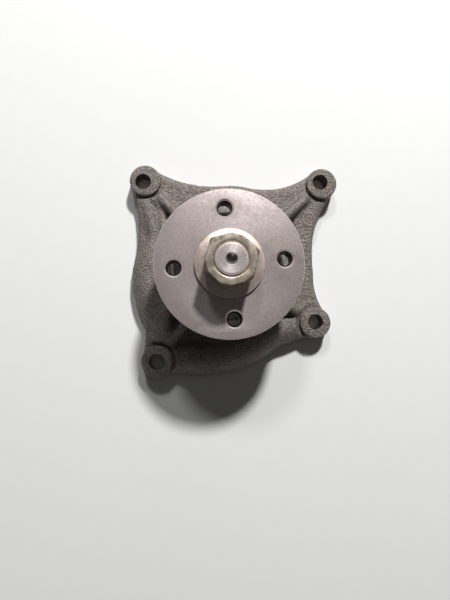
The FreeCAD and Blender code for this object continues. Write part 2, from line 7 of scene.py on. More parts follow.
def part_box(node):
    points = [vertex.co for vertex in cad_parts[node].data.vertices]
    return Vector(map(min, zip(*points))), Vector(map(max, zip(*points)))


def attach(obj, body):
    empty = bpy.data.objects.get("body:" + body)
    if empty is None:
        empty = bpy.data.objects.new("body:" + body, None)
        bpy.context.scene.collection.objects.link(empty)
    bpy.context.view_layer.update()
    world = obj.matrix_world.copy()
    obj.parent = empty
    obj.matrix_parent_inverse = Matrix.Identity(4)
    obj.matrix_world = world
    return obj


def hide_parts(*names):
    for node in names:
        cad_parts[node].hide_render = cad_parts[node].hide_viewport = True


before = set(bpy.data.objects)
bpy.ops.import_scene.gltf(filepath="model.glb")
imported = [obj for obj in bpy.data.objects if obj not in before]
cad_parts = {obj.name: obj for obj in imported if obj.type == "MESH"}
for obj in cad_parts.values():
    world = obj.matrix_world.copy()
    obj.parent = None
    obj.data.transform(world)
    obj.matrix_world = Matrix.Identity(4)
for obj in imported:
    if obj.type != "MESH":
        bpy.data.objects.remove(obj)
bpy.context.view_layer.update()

# Engine coolant pump: cast housing, turned pulley hub, flange nut, shaft, bearing, seal, impeller

MM = 0.001


# Sizes of the cast housing, up from its joint face and out from the shaft axis

def places(*pairs):
    """Places across the joint face, given in millimetres."""
    return [(x * MM, y * MM) for x, y in pairs]


TOWER_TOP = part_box("pump_body")[1][2]
EAR_TOP = 10.0 * MM
EAR_BOSS_R = 8.9 * MM
EAR_HOLE_R = 4.5 * MM
EAR_HOLES = places((-47.7, 52.2), (-39.2, -51.4), (51.8, -29.0), (55.8, 53.2))
EAR_BOSSES = places((-46.5, 52.9), (-39.2, -51.0), (51.9, -29.5), (56.8, 52.5))
UPPER_LEFT_BOSS = EAR_BOSSES[0]
FACING_STOCK = 2.5 * MM
CHAMBER_R = 34.5 * MM
CHAMBER_CEILING = 9.2 * MM
SEAL_SEAT_R = 15.2 * MM
SEAL_SEAT_FOOT = 9.0 * MM
DRY_CHAMBER_R = 17.0 * MM
DRY_CHAMBER_FOOT = 13.4 * MM
BEARING_SEAT_R = 20.0 * MM
BEARING_SEAT_FOOT = 15.5 * MM
RING_GROOVE_R = 21.1 * MM
RING_GROOVE_FOOT = 30.5 * MM
RING_GROOVE_TOP = 32.0 * MM

# Sizes of the hub and its four tapped holes

HUB_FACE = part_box("pulley_hub")[1][2]
HUB_BACK = HUB_FACE - 9.5 * MM
HUB_R = 38.0 * MM
HUB_EDGE = 0.55 * MM
HUB_BORE_R = 8.5 * MM
HUB_BOSS_R = 14.0 * MM
HUB_BOSS_FOOT = 31.4 * MM
HUB_NOSE_R = 12.2 * MM
HUB_NOSE_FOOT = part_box("pulley_hub")[0][2]
NUT_SEAT_R = 17.85 * MM
TAP_R = 4.0 * MM
TAP_PITCH = 1.25 * MM
TAP_SINK_R = 4.95 * MM
TAP_SINK_DEPTH = 0.9 * MM
TAP_CIRCLE_R = 28.0 * MM
TAP_ANGLES = [math.radians(95.0 + 90.0 * quarter) for quarter in range(4)]
TAP_HOLES = [(TAP_CIRCLE_R * math.cos(angle), TAP_CIRCLE_R * math.sin(angle)) for angle in TAP_ANGLES]

# Sizes of the flange nut and the shaft's thread

NUT_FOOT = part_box("flange_nut")[0][2]
NUT_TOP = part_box("flange_nut")[1][2]
NUT_FLAT_R = 12.0 * MM
NUT_CORNER_R = NUT_FLAT_R / math.cos(math.radians(30))
NUT_CHAMFER_R = 12.15 * MM
NUT_BORE_R = 8.0 * MM
NUT_TURN = math.radians(46.0)
FLANGE_R = 17.25 * MM
FLANGE_RIM = NUT_FOOT + 1.8 * MM
FLANGE_TOP = NUT_FOOT + 3.2 * MM
SHAFT_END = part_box("shaft")[1][2]
SHAFT_ROOT_R = 7.45 * MM
SHAFT_PITCH = 1.5 * MM
DRILL_MOUTH_R = 2.8 * MM

# Photo camera, fitted to the nut, the hub and the four ears

CAMERA_PLACE = Vector((-0.0140508, -0.0312614, 0.2673734))
CAMERA_TURN = Vector((0.0581, -0.0524, -0.0014))


# Working with operators

def drop_selection():
    if bpy.context.object and bpy.context.object.mode != "OBJECT":
        bpy.ops.object.mode_set(mode="OBJECT")
    bpy.ops.object.select_all(action="DESELECT")


def pick(piece, *others):
    drop_selection()
    for each in others:
        each.select_set(True)
    piece.select_set(True)
    bpy.context.view_layer.objects.active = piece


def settle(piece):
    """Puts the piece's place into its mesh, with its object at the origin."""
    pick(piece)
    bpy.ops.object.transform_apply(location=True, rotation=True, scale=True)


def named(name):
    """The primitive just added, with its name, at the origin."""
    piece = bpy.context.object
    piece.name = name
    piece.data.name = name
    settle(piece)
    return piece


def edit_all(piece):
    pick(piece)
    bpy.ops.object.mode_set(mode="EDIT")
    bpy.ops.mesh.select_all(action="SELECT")


def leave_edit():
    bpy.ops.object.mode_set(mode="OBJECT")


def clear_marks(piece, kind):
    """Leaves nothing selected on the piece, ready to select its faces or its edges."""
    pick(piece)
    bpy.ops.object.mode_set(mode="EDIT")
    bpy.ops.mesh.select_mode(type=kind)
    bpy.ops.mesh.select_all(action="DESELECT")
    leave_edit()


def select_faces(piece, wanted):
    """Selects the faces whose centre and normal are wanted, and goes into edit mode."""
    clear_marks(piece, "FACE")
    for face in piece.data.polygons:
        face.select = wanted(face.center, face.normal)
    bpy.ops.object.mode_set(mode="EDIT")


def select_edges(piece, wanted):
    """Selects the edges whose two ends are wanted, and goes into edit mode."""
    clear_marks(piece, "EDGE")
    points = piece.data.vertices
    for edge in piece.data.edges:
        edge.select = wanted(points[edge.vertices[0]].co, points[edge.vertices[1]].co)
    bpy.ops.object.mode_set(mode="EDIT")


def round_edges(piece, wanted, width, steps):
    """Bevels the edges whose two ends are wanted."""
    select_edges(piece, wanted)
    bpy.ops.mesh.bevel(offset=width, segments=steps, profile=0.5)
    leave_edit()


def finish_modifier(piece, kind, **settings):
    pick(piece)
    bpy.ops.object.modifier_add(type=kind)
    modifier = piece.modifiers[-1]
    for key, value in settings.items():
        setattr(modifier, key, value)
    bpy.ops.object.modifier_apply(modifier=modifier.name)


def combine(piece, tool, operation="DIFFERENCE"):
    """Cuts, adds or keeps what is shared with a tool piece, and removes the tool."""
    finish_modifier(piece, "BOOLEAN", operation=operation, object=tool, solver="MANIFOLD")
    bpy.data.objects.remove(tool)


def join(piece, *others):
    pick(piece, *others)
    bpy.ops.object.join()


def rod(name, radius, low, high, at=(0.0, 0.0), sides=96):
    """Upright round bar between two heights."""
    bpy.ops.mesh.primitive_cylinder_add(
        vertices=sides, radius=radius, depth=high - low, location=(*at, (low + high) / 2))
    return named(name)


def taper(name, low_r, high_r, low, high, at=(0.0, 0.0), sides=96):
    """Upright cone between two heights."""
    bpy.ops.mesh.primitive_cone_add(
        vertices=sides, radius1=low_r, radius2=high_r, depth=high - low,
        location=(*at, (low + high) / 2))
    return named(name)


def block(name, low, high):
    """Square block between two opposite corners, given in millimetres."""
    low = Vector(low) * MM
    high = Vector(high) * MM
    bpy.ops.mesh.primitive_cube_add(size=1.0, location=(low + high) / 2, scale=high - low)
    return named(name)


def from_axis(point):
    """Distance of a point from the shaft axis."""
    return math.hypot(point.x, point.y)


def coat(piece, *materials):
    """Gives the piece these materials alone, with every face on the first."""
    piece.data.materials.clear()
    for material in materials:
        piece.data.materials.append(material)
    edit_all(piece)
    piece.active_material_index = 0
    bpy.ops.object.material_slot_assign()
    leave_edit()


def paint_faces(piece, slot, wanted):
    """Puts the wanted faces on one of the piece's material slots."""
    select_faces(piece, wanted)
    piece.active_material_index = slot
    bpy.ops.object.material_slot_assign()
    leave_edit()


def smooth_shading(piece, degrees):
    pick(piece)
    bpy.ops.object.shade_smooth_by_angle(angle=math.radians(degrees))


# Building materials

def with_alpha(colour):
    return colour if isinstance(colour, bpy.types.NodeSocket) else (*colour, 1.0)


class Finish:
    """One material's nodes. A pattern's scale is in waves per metre of the piece."""

    COLOUR_A, COLOUR_B, COLOUR_RESULT = 6, 7, 2

    def __init__(self, name):
        self.material = bpy.data.materials.new(name)
        self.material.use_nodes = True
        self.tree = self.material.node_tree
        self.shader = self.tree.nodes["Principled BSDF"]
        self.place = self.add("ShaderNodeTexCoord").outputs["Object"]
        self.axes = None
        self.bumps = None

    def add(self, kind, **settings):
        node = self.tree.nodes.new(kind)
        for key, value in settings.items():
            setattr(node, key, value)
        return node

    def feed(self, socket, value):
        if isinstance(value, bpy.types.NodeSocket):
            self.tree.links.new(value, socket)
        else:
            socket.default_value = value

    def noise(self, scale, detail=3.0, rough=0.55):
        node = self.add("ShaderNodeTexNoise")
        self.feed(node.inputs["Vector"], self.place)
        node.inputs["Scale"].default_value = scale
        node.inputs["Detail"].default_value = detail
        node.inputs["Roughness"].default_value = rough
        return node.outputs["Fac"]

    def cells(self, scale):
        node = self.add("ShaderNodeTexVoronoi")
        self.feed(node.inputs["Vector"], self.place)
        node.inputs["Scale"].default_value = scale
        return node.outputs["Distance"]

    def spread(self, value, low, high, out_low=0.0, out_high=1.0):
        """Eases a value from one range into another."""
        node = self.add("ShaderNodeMapRange", interpolation_type="SMOOTHSTEP")
        self.feed(node.inputs["Value"], value)
        node.inputs["From Min"].default_value = low
        node.inputs["From Max"].default_value = high
        node.inputs["To Min"].default_value = out_low
        node.inputs["To Max"].default_value = out_high
        return node.outputs["Result"]

    def work_out(self, operation, first, second=0.0):
        node = self.add("ShaderNodeMath", operation=operation)
        self.feed(node.inputs[0], first)
        self.feed(node.inputs[1], second)
        return node.outputs["Value"]

    def mix(self, amount, first, second):
        """Colour between two others."""
        node = self.add("ShaderNodeMix", data_type="RGBA")
        self.feed(node.inputs["Factor"], amount)
        self.feed(node.inputs[self.COLOUR_A], with_alpha(first))
        self.feed(node.inputs[self.COLOUR_B], with_alpha(second))
        return node.outputs[self.COLOUR_RESULT]

    def along(self, axis):
        """Place along the X, Y or Z axis; Z is the height above the joint face."""
        if self.axes is None:
            self.axes = self.add("ShaderNodeSeparateXYZ")
            self.feed(self.axes.inputs[0], self.place)
        return self.axes.outputs[axis]

    def axis_distance(self):
        """Distance from the shaft axis."""
        squares = [self.work_out("MULTIPLY", self.along(axis), self.along(axis)) for axis in "XY"]
        return self.work_out("SQRT", self.work_out("ADD", *squares))

    def tool_marks(self, pitch):
        """Fine rings left by the lathe, uneven in depth."""
        rings = self.work_out("MULTIPLY", self.axis_distance(), 2 * math.pi / pitch)
        return self.work_out("MULTIPLY", self.work_out("SINE", rings), self.noise(700.0, 2.0))

    def bump(self, height, depth, strength):
        node = self.add("ShaderNodeBump")
        node.inputs["Strength"].default_value = strength
        node.inputs["Distance"].default_value = depth
        self.feed(node.inputs["Height"], height)
        if self.bumps is not None:
            self.feed(node.inputs["Normal"], self.bumps)
        self.bumps = node.outputs["Normal"]
        self.feed(self.shader.inputs["Normal"], self.bumps)

    def skin(self, colour, metal, rough):
        self.feed(self.shader.inputs["Base Color"], with_alpha(colour))
        self.feed(self.shader.inputs["Metallic"], metal)
        self.feed(self.shader.inputs["Roughness"], rough)

    def lathe_gleam(self, amount):
        """Highlights that fan out across the turning marks."""
        tangent = self.add("ShaderNodeTangent", direction_type="RADIAL", axis="Z")
        self.feed(self.shader.inputs["Tangent"], tangent.outputs["Tangent"])
        self.shader.inputs["Anisotropic"].default_value = amount
        self.shader.inputs["Anisotropic Rotation"].default_value = 0.25


def sand_cast_iron():
    """Grey-brown cast skin with a coarse grain, darker blotches and small pits."""
    finish = Finish("sand_cast_iron")
    grain = finish.noise(950.0, 3.0, 0.6)
    blotch = finish.noise(150.0, 4.0, 0.6)
    pits = finish.cells(760.0)
    tone = finish.mix(finish.spread(grain, 0.36, 0.64), (0.122, 0.104, 0.092), (0.242, 0.206, 0.183))
    tone = finish.mix(finish.spread(blotch, 0.38, 0.66, 0.0, 0.35), tone, (0.14, 0.12, 0.107))
    tone = finish.mix(finish.spread(pits, 0.0, 0.22, 0.4, 0.0), tone, (0.075, 0.065, 0.058))
    finish.skin(tone, 0.35, finish.spread(grain, 0.3, 0.7, 0.62, 0.42))
    finish.bump(finish.noise(330.0, 3.0), 0.5 * MM, 0.6)
    finish.bump(grain, 0.85 * MM, 1.0)
    finish.bump(finish.spread(pits, 0.0, 0.3), 0.14 * MM, 0.6)
    return finish.material


def machined_iron():
    """Grey iron where a tool has been over it."""
    finish = Finish("machined_iron")
    grain = finish.noise(900.0, 4.0, 0.6)
    tone = finish.mix(finish.spread(grain, 0.3, 0.7), (0.3, 0.29, 0.28), (0.44, 0.425, 0.41))
    finish.skin(tone, 0.85, finish.spread(grain, 0.3, 0.7, 0.34, 0.46))
    finish.bump(finish.tool_marks(0.4 * MM), 0.03 * MM, 0.5)
    finish.bump(grain, 0.02 * MM, 0.4)
    return finish.material


def satin_hub_steel():
    """Handled satin steel, warm grey, with smudges and faint stains."""
    finish = Finish("satin_hub_steel")
    fine = finish.noise(2100.0, 2.0, 0.7)
    mottle = finish.noise(520.0, 4.0, 0.7)
    smudge = finish.spread(finish.noise(62.0, 5.0, 0.62), 0.42, 0.66)
    stain = finish.spread(finish.noise(120.0, 5.0, 0.7), 0.56, 0.72)
    tone = finish.mix(finish.spread(fine, 0.34, 0.66), (0.315, 0.27, 0.26), (0.46, 0.395, 0.38))
    tone = finish.mix(finish.spread(mottle, 0.4, 0.64, 0.0, 0.4), tone, (0.3, 0.256, 0.245))
    tone = finish.mix(finish.work_out("MULTIPLY", smudge, 0.35), tone, (0.29, 0.247, 0.236))
    tone = finish.mix(finish.work_out("MULTIPLY", stain, 0.5), tone, (0.19, 0.163, 0.155))
    finish.skin(tone, 0.72, finish.spread(mottle, 0.3, 0.7, 0.5, 0.62))
    finish.lathe_gleam(0.3)
    finish.bump(finish.tool_marks(0.32 * MM), 0.02 * MM, 0.5)
    finish.bump(fine, 0.035 * MM, 0.5)
    return finish.material


def zinc_plating():
    """Yellowish zinc, cloudy and worn, with painted light that makes the flange brighter."""
    finish = Finish("zinc_plating")
    cloud = finish.noise(260.0, 4.0, 0.6)
    fine = finish.noise(1900.0, 3.0, 0.6)
    # Painted light: everything below the flange's top is painted brighter, as where the flange is lit.
    flange_painted_light = finish.spread(finish.along("Z"), FLANGE_TOP + 0.1 * MM, FLANGE_TOP - 0.3 * MM)
    worn = finish.spread(finish.noise(620.0, 4.0, 0.7), 0.56, 0.72, 0.0, 0.6)
    tone = finish.mix(finish.spread(cloud, 0.36, 0.62), (0.32, 0.278, 0.215), (0.5, 0.43, 0.355))
    tone = finish.mix(flange_painted_light, tone, (0.66, 0.54, 0.48))
    tone = finish.mix(worn, tone, (0.21, 0.18, 0.135))
    finish.skin(tone, 0.7, finish.spread(cloud, 0.3, 0.7, 0.32, 0.44))
    finish.bump(fine, 0.025 * MM, 0.5)
    return finish.material


def zinc_painted_shade():
    """Painted shade: a darker copy of the zinc for the nut's flats and chamfers."""
    finish = Finish("zinc_painted_shade")
    cloud = finish.noise(420.0, 4.0, 0.65)
    tone = finish.mix(finish.spread(cloud, 0.36, 0.64), (0.18, 0.158, 0.115), (0.26, 0.228, 0.172))
    finish.skin(tone, 0.8, finish.spread(cloud, 0.3, 0.7, 0.3, 0.42))
    finish.bump(finish.noise(1900.0, 3.0, 0.6), 0.025 * MM, 0.5)
    return finish.material


def bright_turned_steel():
    """Bright lathe-turned shaft, with painted shade inside its centre drill."""
    finish = Finish("bright_turned_steel")
    fine = finish.noise(1900.0, 3.0, 0.6)
    specks = finish.spread(finish.noise(1300.0, 2.0), 0.7, 0.78, 0.0, 0.5)
    # Painted shade: the centre drill at the shaft's end is painted dark.
    near_axis = finish.spread(finish.axis_distance(), DRILL_MOUTH_R, DRILL_MOUTH_R - 0.2 * MM)
    near_end = finish.spread(finish.along("Z"), SHAFT_END - 12.0 * MM, SHAFT_END - 10.0 * MM)
    drill_painted_shade = finish.work_out("MULTIPLY", near_axis, near_end)
    tone = finish.mix(finish.spread(fine, 0.35, 0.7), (0.68, 0.6, 0.585), (0.86, 0.77, 0.755))
    tone = finish.mix(specks, tone, (0.25, 0.23, 0.22))
    tone = finish.mix(drill_painted_shade, tone, (0.3, 0.26, 0.25))
    finish.skin(tone, 0.7, finish.spread(fine, 0.3, 0.7, 0.26, 0.38))
    finish.lathe_gleam(0.5)
    finish.bump(finish.tool_marks(0.25 * MM), 0.015 * MM, 0.6)
    return finish.material


def hole_painted_shade_steel():
    """Painted shade: very dark steel for the walls and threads of the hub's holes."""
    finish = Finish("hole_painted_shade_steel")
    shade_mottle = finish.noise(900.0, 4.0, 0.65)
    tone = finish.mix(finish.spread(shade_mottle, 0.35, 0.65), (0.045, 0.04, 0.037), (0.09, 0.08, 0.074))
    finish.skin(tone, 0.6, finish.spread(shade_mottle, 0.3, 0.7, 0.3, 0.45))
    finish.bump(shade_mottle, 0.02 * MM, 0.4)
    return finish.material


def ground_steel(name, dark, light, low_rough, high_rough, metal=1.0):
    """Ground or drawn metal with a fine even grain."""
    finish = Finish(name)
    fine = finish.noise(1800.0, 3.0, 0.6)
    tone = finish.mix(finish.spread(fine, 0.3, 0.7), dark, light)
    finish.skin(tone, metal, finish.spread(fine, 0.3, 0.7, low_rough, high_rough))
    finish.bump(fine, 0.015 * MM, 0.4)
    return finish.material


def moulded(name, dark, light, low_rough, high_rough, grain_depth):
    """Rubber, polymer, ceramic or carbon, without metal."""
    finish = Finish(name)
    fine = finish.noise(1400.0, 4.0, 0.6)
    tone = finish.mix(finish.spread(fine, 0.3, 0.7), dark, light)
    finish.skin(tone, 0.0, finish.spread(fine, 0.3, 0.7, low_rough, high_rough))
    finish.bump(fine, grain_depth, 0.5)
    return finish.material


def studio_floor_paint():
    finish = Finish("studio_floor_paint")
    tone = finish.mix(finish.noise(9.0, 3.0), (0.78, 0.78, 0.77), (0.81, 0.81, 0.8))
    finish.skin(tone, 0.0, finish.spread(finish.noise(60.0), 0.3, 0.7, 0.82, 0.9))
    return finish.material


# The cast housing

def node_copy(node, name):
    """A new piece with a welded copy of a CAD node's mesh."""
    piece = bpy.data.objects.new(name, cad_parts[node].data.copy())
    bpy.context.scene.collection.objects.link(piece)
    piece.data.materials.clear()
    edit_all(piece)
    bpy.ops.mesh.remove_doubles(threshold=0.002 * MM)
    leave_edit()
    return piece


def raw_casting():
    """The housing before machining, with its hollows filled and stock below the joint face.

    Each plug laps into the walls round it, and stops short of the face that it comes up to.
    """
    casting = node_copy("pump_body", "cast_housing")
    select_faces(casting, lambda centre, normal: centre.z < 0.01 * MM and normal.z < -0.9)
    bpy.ops.transform.translate(value=(0.0, 0.0, -FACING_STOCK))
    leave_edit()
    bore_plug_top = TOWER_TOP - 0.02 * MM
    ear_plug_top = EAR_TOP - 0.6 * MM
    plugs = [
        rod("chamber_plug", CHAMBER_R + 1.5 * MM, -FACING_STOCK, CHAMBER_CEILING + 1.2 * MM),
        rod("bore_plug", RING_GROOVE_R + 1.4 * MM, SEAL_SEAT_FOOT - 1.0 * MM, bore_plug_top),
    ]
    for hole in EAR_HOLES:
        plugs.append(rod("ear_plug", EAR_HOLE_R + 1.1 * MM, -FACING_STOCK, ear_plug_top, hole, 48))
    join(casting, *plugs)
    lower_webs(casting)
    return casting


def lower_webs(casting):
    """Sinks the web a little round each ear boss, and beside the volute roll on the left."""
    step_r = EAR_BOSS_R + 2.0 * MM
    step_z = 7.5 * MM
    over_all = EAR_TOP + 20.0 * MM
    for boss in EAR_BOSSES:
        combine(casting, rod("web_step", step_r, step_z, over_all, boss, 64))
    combine(casting, left_web_cut())


def left_web_cut():
    """What stands over the flat web between the upper left ear and the volute roll.

    Its floor slopes up towards the roll, and the dome and the ear's rib are kept out of it.
    """
    roll_ramp = 5.0 * MM
    cut = block("left_web_cut", (-63.0, 0.0, 8.5), (-37.0, 46.0, 28.5))
    select_edges(cut, lambda a, b: max(a.y, b.y) < 1.0 * MM and max(a.z, b.z) < 9.0 * MM)
    bpy.ops.transform.translate(value=(0.0, 0.0, roll_ramp))
    leave_edit()
    combine(cut, rod("dome_kept", 39.5 * MM, 0.0, 40.0 * MM))
    rib_kept = block("rib_kept", (0.0, -4.5, 3.5), (90.0, 4.5, 33.5))
    rib_kept.rotation_euler = (0.0, 0.0, math.atan2(UPPER_LEFT_BOSS[1], UPPER_LEFT_BOSS[0]))
    settle(rib_kept)
    combine(cut, rib_kept)
    return cut


def soften_casting(casting):
    """Runs the corners into each other as a sand mould does, and ripples the skin."""
    finish_modifier(casting, "REMESH", mode="VOXEL", voxel_size=0.85 * MM, use_smooth_shade=True)
    finish_modifier(casting, "SMOOTH", factor=0.5, iterations=16)
    ripple = bpy.data.textures.new("mould_ripple", type="CLOUDS")
    ripple.noise_scale = 4.5 * MM
    ripple.noise_depth = 2
    finish_modifier(casting, "DISPLACE", texture=ripple, texture_coords="LOCAL",
                    strength=0.4 * MM, mid_level=0.2)


def crisp_bosses(casting):
    """Ear bosses with their flat tops and a small round, standing out of the softened web."""
    for place in EAR_BOSSES:
        boss = rod("boss", EAR_BOSS_R, 1.0 * MM, EAR_TOP, place, 72)
        round_edges(boss, lambda a, b: min(a.z, b.z) > EAR_TOP - 0.1 * MM, 0.8 * MM, 3)
        combine(casting, boss, "UNION")


def machine_casting(casting):
    """Faces the joint and the tower, and bores the chambers, the seats and the ear holes."""
    overrun = 1.0 * MM
    facing_r = 120.0 * MM
    facing_depth = 20.0 * MM
    combine(casting, rod("joint_facing", facing_r, -facing_depth, 0.0))
    combine(casting, rod("tower_facing", facing_r, TOWER_TOP, TOWER_TOP + facing_depth))
    bores = {
        "wet_chamber": (CHAMBER_R, -overrun, CHAMBER_CEILING),
        "seal_seat": (SEAL_SEAT_R, SEAL_SEAT_FOOT, DRY_CHAMBER_FOOT),
        "dry_chamber": (DRY_CHAMBER_R, DRY_CHAMBER_FOOT, BEARING_SEAT_FOOT + 0.1 * MM),
        "bearing_seat": (BEARING_SEAT_R, BEARING_SEAT_FOOT, TOWER_TOP + overrun),
        "ring_groove": (RING_GROOVE_R, RING_GROOVE_FOOT, RING_GROOVE_TOP),
    }
    for name, (radius, low, high) in bores.items():
        combine(casting, rod(name, radius, low, high, sides=160))
    for hole in EAR_HOLES:
        combine(casting, rod("ear_drill", EAR_HOLE_R, -overrun, EAR_TOP + overrun, hole, 64))


def is_machined(centre, normal):
    """Whether a face lies on the joint, the tower's top, or a bored wall."""
    if centre.z < 0.02 * MM or centre.z > TOWER_TOP - 0.05 * MM:
        return abs(normal.z) > 0.99
    if from_axis(centre) < RING_GROOVE_R + 0.2 * MM and centre.z > SEAL_SEAT_FOOT:
        return True
    in_chamber = from_axis(centre) < CHAMBER_R + 0.1 * MM and centre.z < CHAMBER_CEILING + 0.1 * MM
    return in_chamber and abs(normal.z) < 0.1


def cast_housing(iron, machined):
    casting = raw_casting()
    soften_casting(casting)
    crisp_bosses(casting)
    machine_casting(casting)
    coat(casting, iron, machined)
    paint_faces(casting, 1, is_machined)
    smooth_shading(casting, 38)
    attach(casting, "housing")
    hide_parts("pump_body")


# The turned hub and its threads

def thread_ridge(name, at, wall_r, inward, pitch, low, turns):
    """Helical ridge of a thread, standing on a wall of the given radius."""
    section_r = 0.55 * pitch
    flank_squeeze = 0.62
    root_lap = 0.03 * MM
    steps_per_turn = 28
    bpy.ops.mesh.primitive_circle_add(vertices=3, radius=section_r, rotation=(math.pi / 2, 0.0, 0.0))
    ridge = named(name)
    edit_all(ridge)
    point_out = math.pi / 2 + (math.pi if inward else 0.0)
    bpy.ops.transform.rotate(value=point_out, orient_axis="Y", center_override=(0, 0, 0))
    bpy.ops.transform.resize(value=(flank_squeeze, 1.0, 1.0), center_override=(0, 0, 0))
    leave_edit()
    across = [point.co.x for point in ridge.data.vertices]
    shift = wall_r + root_lap - max(across) if inward else wall_r - root_lap - min(across)
    edit_all(ridge)
    bpy.ops.transform.translate(value=(shift, 0.0, low))
    leave_edit()
    finish_modifier(ridge, "SCREW", axis="Z", angle=2 * math.pi, screw_offset=pitch,
                    iterations=turns, steps=steps_per_turn, render_steps=steps_per_turn)
    edit_all(ridge)
    bpy.ops.mesh.fill_holes(sides=3)
    bpy.ops.mesh.normals_make_consistent(inside=False)
    bpy.ops.transform.translate(value=(*at, 0.0))
    leave_edit()
    smooth_shading(ridge, 40)
    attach(ridge, "rotor")
    return ridge


def near_tap_hole(point, reach):
    return any(math.hypot(point.x - x, point.y - y) < reach for x, y in TAP_HOLES)


def on_eased_edge(centre, normal):
    """Whether a face of the hub lies on a hole's countersink or on the rounded rim."""
    slanted = 0.2 < abs(normal.z) < 0.95
    return slanted and (near_tap_hole(centre, 5.2 * MM) or from_axis(centre) > HUB_R - 0.7 * MM)


def in_tap_hole(centre, normal):
    return abs(normal.z) < 0.1 and near_tap_hole(centre, TAP_R + 0.2 * MM)


def drill_tap_holes(hub):
    """Four through holes, countersunk on both faces."""
    overrun = 0.2 * MM
    sink_foot_r = TAP_R - 0.1 * MM
    rise = 0.15 * MM
    for hole in TAP_HOLES:
        combine(hub, rod("tap_hole", TAP_R, HUB_BACK - overrun, HUB_FACE + overrun, hole, 64))
        combine(hub, taper("face_sink", sink_foot_r, TAP_SINK_R,
                           HUB_FACE - TAP_SINK_DEPTH, HUB_FACE + rise, hole, 64))
        combine(hub, taper("back_sink", TAP_SINK_R, sink_foot_r,
                           HUB_BACK - rise, HUB_BACK + TAP_SINK_DEPTH, hole, 64))


def turned_hub(steel, edge_wear_and_sheen, hole_shade_steel):
    """Hub disc with its boss, eased rim, nut seat and four tapped holes."""
    above = HUB_FACE + 1.0 * MM
    hub = rod("turned_hub", HUB_R, HUB_BACK, HUB_FACE, sides=256)
    round_edges(hub, lambda a, b: abs(a.z - b.z) < 0.1 * MM, HUB_EDGE, 3)
    combine(hub, rod("hub_boss", HUB_BOSS_R, HUB_BOSS_FOOT, HUB_BACK + 1.0 * MM, sides=160), "UNION")
    combine(hub, rod("hub_nose", HUB_NOSE_R, HUB_NOSE_FOOT, HUB_BOSS_FOOT + 0.2 * MM, sides=160), "UNION")
    combine(hub, rod("nut_seat", NUT_SEAT_R, NUT_FOOT, above, sides=160))
    combine(hub, rod("hub_bore", HUB_BORE_R, HUB_NOSE_FOOT - 1.5 * MM, above, sides=128))
    drill_tap_holes(hub)
    coat(hub, steel, edge_wear_and_sheen, hole_shade_steel)
    # Worn bright and painted highlight: the countersinks and the rim take the brighter edge steel.
    paint_faces(hub, 1, on_eased_edge)
    # Painted shade: the walls of the tapped holes take the very dark steel.
    paint_faces(hub, 2, in_tap_hole)
    smooth_shading(hub, 30)
    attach(hub, "rotor")
    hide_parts("pulley_hub")


def hub_threads(hole_shade_steel):
    for number, hole in enumerate(TAP_HOLES, 1):
        ridge = thread_ridge("hub_thread_%d" % number, hole, TAP_R, True, TAP_PITCH,
                             HUB_BACK + 1.0 * MM, 6)
        # Painted shade: the thread ridges take the very dark steel.
        coat(ridge, hole_shade_steel)


# The flange nut on the shaft end

def nut_crown():
    """Round envelope that takes the corners off the hexagon's top."""
    wide = NUT_CORNER_R + 3.0 * MM
    slope = math.tan(math.radians(30))
    cap_low = NUT_TOP - (wide - NUT_CHAMFER_R) * slope
    crown = taper("crown", wide, NUT_CHAMFER_R, cap_low, NUT_TOP, sides=192)
    skirt = rod("skirt", wide, NUT_FOOT - 1.0 * MM, cap_low + 0.01 * MM, sides=192)
    combine(crown, skirt, "UNION")
    return crown


def is_flange_rim(a, b):
    """Whether an edge runs round the flange where its cone meets its rim."""
    far_out = min(from_axis(a), from_axis(b)) > FLANGE_R - 0.15 * MM
    return far_out and min(a.z, b.z) > FLANGE_RIM - 0.1 * MM


def nut_flange():
    """Washer-like foot with a shallow cone on top and an eased rim."""
    flange = taper("flange", FLANGE_R, NUT_FLAT_R, FLANGE_RIM, FLANGE_TOP, sides=192)
    combine(flange, rod("foot", FLANGE_R, NUT_FOOT, FLANGE_RIM + 0.01 * MM, sides=192), "UNION")
    round_edges(flange, is_flange_rim, 0.3 * MM, 2)
    return flange


def is_top_ring(a, b):
    """Whether an edge runs round the axis on the nut's top face."""
    runs_round = abs(from_axis(a) - from_axis(b)) < 0.05 * MM
    return runs_round and min(a.z, b.z) > NUT_TOP - 0.005 * MM


def on_nut_side(centre, normal):
    """Whether a face lies on the nut's flats or on their chamfers."""
    return abs(normal.z) < 0.9 and centre.z > FLANGE_TOP and from_axis(centre) > NUT_FLAT_R - 0.5 * MM


def zinc_flange_nut(zinc, shaded_zinc):
    nut = rod("zinc_flange_nut", NUT_CORNER_R, NUT_FOOT, NUT_TOP, sides=6)
    edit_all(nut)
    bpy.ops.transform.rotate(value=-NUT_TURN, orient_axis="Z", center_override=(0, 0, 0))
    leave_edit()
    round_edges(nut, lambda a, b: abs(a.z - b.z) > 1.0 * MM, 1.0 * MM, 4)
    combine(nut, nut_crown(), "INTERSECT")
    combine(nut, nut_flange(), "UNION")
    combine(nut, rod("nut_bore", NUT_BORE_R, NUT_FOOT - 1.0 * MM, NUT_TOP + 1.0 * MM, sides=128))
    combine(nut, taper("mouth", NUT_BORE_R - 0.4 * MM, NUT_BORE_R + 1.05 * MM,
                       NUT_TOP - 1.5 * MM, NUT_TOP + 0.2 * MM, sides=128))
    round_edges(nut, is_top_ring, 0.28 * MM, 3)
    coat(nut, zinc, shaded_zinc)
    # Painted shade: the flats and chamfers take the darker copy of the zinc.
    paint_faces(nut, 1, on_nut_side)
    smooth_shading(nut, 35)
    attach(nut, "rotor")
    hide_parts("flange_nut")


